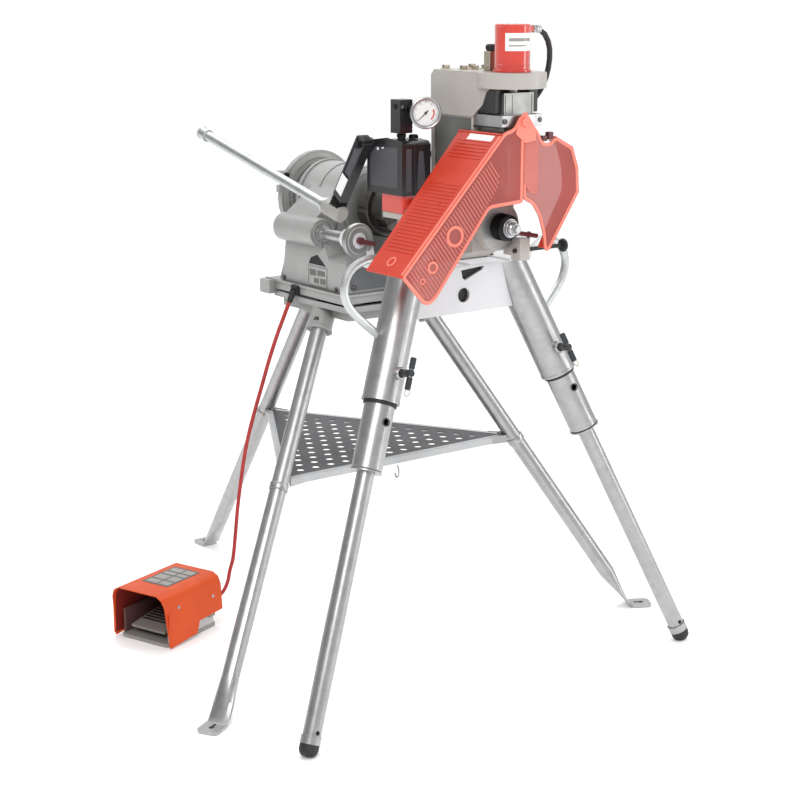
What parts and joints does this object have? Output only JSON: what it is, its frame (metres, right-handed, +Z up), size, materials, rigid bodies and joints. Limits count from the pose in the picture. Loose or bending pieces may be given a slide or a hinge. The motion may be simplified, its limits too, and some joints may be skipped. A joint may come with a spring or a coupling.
{
  "type": "pipe roll groover",
  "caption": "Hydraulic roll groover with hand pump, red guards and telescoping legs, hung on a pipe power drive on a tripod stand with a tray, with a corded foot switch.",
  "frame": {"origin": "middle of the box round the stand, drive and groover, at floor level", "axes": "+Z up; -Y towards the front, where the rolls and guards are; +X to the right seen from the front"},
  "size_m": [1.4432, 1.524, 1.59],
  "materials": {
    "galvanised": "satin galvanised steel pipe",
    "cast_grey": "warm light grey enamel on a casting",
    "drive_grey": "light grey enamel on a casting",
    "plate_white": "pale grey powder coat",
    "dark_steel": "oiled dark steel",
    "bright_steel": "ground bright steel",
    "black_paint": "satin black paint",
    "rubber": "matt black rubber",
    "red_paint": "glossy red enamel",
    "red_plastic": "translucent red moulded plastic",
    "red_cover": "orange red enamel on folded sheet",
    "dark_red": "dark red plastic",
    "cord_red": "red rubber cord",
    "zinc": "yellow zinc plate",
    "tray_grey": "mid grey enamel sheet",
    "dial_white": "polished bezel round a white dial"
  },
  "bodies": {
    "frame": {"stand_head": "drive_grey", "stand_leg_left": "galvanised", "stand_leg_right": "galvanised", "stand_leg_rear": "galvanised", "stand_tray": "tray_grey", "drive_base": "drive_grey", "gear_case": "drive_grey", "rear_cover": "drive_grey", "support_bar_left": "bright_steel", "support_bar_right": "bright_steel", "motor_housing": "dark_steel", "mains_inlet": "rubber", "cord_gland": "rubber", "groover_base": "plate_white", "groover_frame": "cast_grey", "ram_cylinder": "red_paint", "guard_bracket": "bright_steel", "depth_stop": "zinc", "leg_sleeve_left": "galvanised", "leg_sleeve_right": "galvanised", "carry_handle_left": "galvanised", "carry_handle_right": "galvanised", "stabilizer_block": "zinc", "pump_body": "black_paint", "pump_tank": "red_paint", "gauge_case": "dial_white", "hydraulic_hose": "rubber", "guard_pivot": "bright_steel", "foot_switch_cover": "red_cover", "foot_switch_base": "tray_grey", "foot_switch_cord": "cord_red"},
    "spindle": {"spindle": "dark_steel", "spindle_gear": "dark_steel", "drive_shaft": "bright_steel", "drive_roll": "bright_steel"},
    "motor_rotor": {"motor_rotor": "dark_steel"},
    "chuck_wheel": {"chuck_wheel": "dark_steel"},
    "chuck_jaw_1": {"chuck_jaw_1": "dark_steel"},
    "chuck_jaw_2": {"chuck_jaw_2": "dark_steel"},
    "chuck_jaw_3": {"chuck_jaw_3": "dark_steel"},
    "centering_wheel": {"centering_wheel": "drive_grey"},
    "ram": {"ram_slide": "bright_steel"},
    "groove_roll": {"groove_roll": "dark_steel"},
    "depth_knob": {"depth_knob": "rubber"},
    "leg_left": {"leg_tube_left": "galvanised", "foot_cap_left": "rubber"},
    "leg_right": {"leg_tube_right": "galvanised", "foot_cap_right": "rubber"},
    "lock_pin_left": {"lock_pin_left": "dark_steel"},
    "lock_pin_right": {"lock_pin_right": "dark_steel"},
    "stabilizer_knob": {"stabilizer_knob": "rubber"},
    "bar_lock_lever": {"bar_lock_lever": "dark_red"},
    "pump_lever": {"pump_lever": "black_paint", "pump_handle": "galvanised"},
    "pump_plunger": {"pump_plunger": "bright_steel"},
    "release_knob": {"release_knob": "black_paint"},
    "gauge_needle": {"gauge_needle": "dark_steel"},
    "guard_left": {"guard_left": "red_plastic"},
    "guard_right": {"guard_right": "red_plastic"},
    "foot_pedal": {"foot_pedal": "tray_grey"}
  },
  "joints": [
    {"name": "spindle_spin", "type": "hinge", "parent": "frame", "child": "spindle", "pos_m": [0, -0.084, 1.133], "axis": [0, 1, 0], "continuous": true},
    {"name": "motor_spin", "type": "hinge", "parent": "frame", "child": "motor_rotor", "pos_m": [0, -0.084, 1.037], "axis": [0, 1, 0], "continuous": true},
    {"name": "chuck_wheel_turn", "type": "hinge", "parent": "spindle", "child": "chuck_wheel", "pos_m": [0, -0.206, 1.133], "axis": [0, 1, 0], "range_deg": [0, 60]},
    {"name": "jaw_1_slide", "type": "slide", "parent": "spindle", "child": "chuck_jaw_1", "axis": [0, 0, 1], "range_m": [0, 0.008]},
    {"name": "jaw_2_slide", "type": "slide", "parent": "spindle", "child": "chuck_jaw_2", "axis": [0.866, 0, -0.5], "range_m": [0, 0.008]},
    {"name": "jaw_3_slide", "type": "slide", "parent": "spindle", "child": "chuck_jaw_3", "axis": [-0.866, 0, -0.5], "range_m": [0, 0.008]},
    {"name": "centering_wheel_turn", "type": "hinge", "parent": "spindle", "child": "centering_wheel", "pos_m": [0, 0.086, 1.133], "axis": [0, 1, 0], "range_deg": [0, 60]},
    {"name": "ram_travel", "type": "slide", "parent": "frame", "child": "ram", "axis": [0, 0, -1], "range_m": [0, 0.022], "stiffness_N_per_m": 4000, "springref_m": -0.05},
    {"name": "groove_roll_spin", "type": "hinge", "parent": "ram", "child": "groove_roll", "pos_m": [0, -0.674, 1.227], "axis": [0, 1, 0], "continuous": true},
    {"name": "depth_knob_turn", "type": "hinge", "parent": "frame", "child": "depth_knob", "pos_m": [-0.009, -0.621, 1.535], "axis": [0, 0, 1], "range_deg": [0, 330]},
    {"name": "leg_left_extend", "type": "slide", "parent": "frame", "child": "leg_left", "axis": [-0.3911, -0.1913, -0.9003], "range_m": [0, 0.1]},
    {"name": "lock_pin_left_pull", "type": "slide", "parent": "frame", "child": "lock_pin_left", "axis": [0.0762, -0.9815, 0.1755], "range_m": [0, 0.02], "stiffness_N_per_m": 300, "springref_m": -0.01},
    {"name": "leg_right_extend", "type": "slide", "parent": "frame", "child": "leg_right", "axis": [0.3911, -0.1913, -0.9003], "range_m": [0, 0.1]},
    {"name": "lock_pin_right_pull", "type": "slide", "parent": "frame", "child": "lock_pin_right", "axis": [-0.0762, -0.9815, 0.1755], "range_m": [0, 0.02], "stiffness_N_per_m": 300, "springref_m": -0.01},
    {"name": "stabilizer_knob_turn", "type": "hinge", "parent": "frame", "child": "stabilizer_knob", "pos_m": [0.12, -0.664, 1.075], "axis": [1, 0, 0], "range_deg": [0, 330]},
    {"name": "bar_lock_turn", "type": "hinge", "parent": "frame", "child": "bar_lock_lever", "pos_m": [-0.17, -0.338, 1.077], "axis": [0, 1, 0], "range_deg": [-80, 0]},
    {"name": "pump_lever_stroke", "type": "hinge", "parent": "frame", "child": "pump_lever", "pos_m": [-0.222, -0.421, 1.316], "axis": [1, 0, 0], "range_deg": [0, 45]},
    {"name": "pump_plunger_stroke", "type": "slide", "parent": "frame", "child": "pump_plunger", "axis": [0, 0, 1], "range_m": [0, 0.015]},
    {"name": "release_knob_turn", "type": "hinge", "parent": "frame", "child": "release_knob", "pos_m": [-0.159, -0.549, 1.184], "axis": [0, 1, 0], "range_deg": [0, 180]},
    {"name": "gauge_needle_turn", "type": "hinge", "parent": "frame", "child": "gauge_needle", "pos_m": [-0.135, -0.541, 1.392], "axis": [0.5, 0.866, 0], "range_deg": [0, 270], "stiffness_Nm_per_rad": 0.0005, "springref_deg": -57.3},
    {"name": "guard_left_swing", "type": "hinge", "parent": "frame", "child": "guard_left", "pos_m": [-0.005, -0.732, 1.377], "axis": [0, 1, 0], "range_deg": [0, 25]},
    {"name": "guard_right_swing", "type": "hinge", "parent": "frame", "child": "guard_right", "pos_m": [-0.005, -0.728, 1.377], "axis": [0, -1, 0], "range_deg": [0, 25]},
    {"name": "foot_pedal_press", "type": "hinge", "parent": "frame", "child": "foot_pedal", "pos_m": [-0.397, 0.1728, 0.0475], "axis": [0.342, -0.9397, 0], "range_deg": [0, 5], "stiffness_Nm_per_rad": 6, "springref_deg": -17.19}
  ],
  "couplings": [
    {"joint": "motor_spin", "follows": "spindle_spin", "ratio": -5},
    {"joint": "jaw_1_slide", "follows": "chuck_wheel_turn", "m_per_rad": 0.00764},
    {"joint": "jaw_2_slide", "follows": "chuck_wheel_turn", "m_per_rad": 0.00764},
    {"joint": "jaw_3_slide", "follows": "chuck_wheel_turn", "m_per_rad": 0.00764},
    {"joint": "pump_plunger_stroke", "follows": "pump_lever_stroke", "m_per_rad": 0.019}
  ]
}
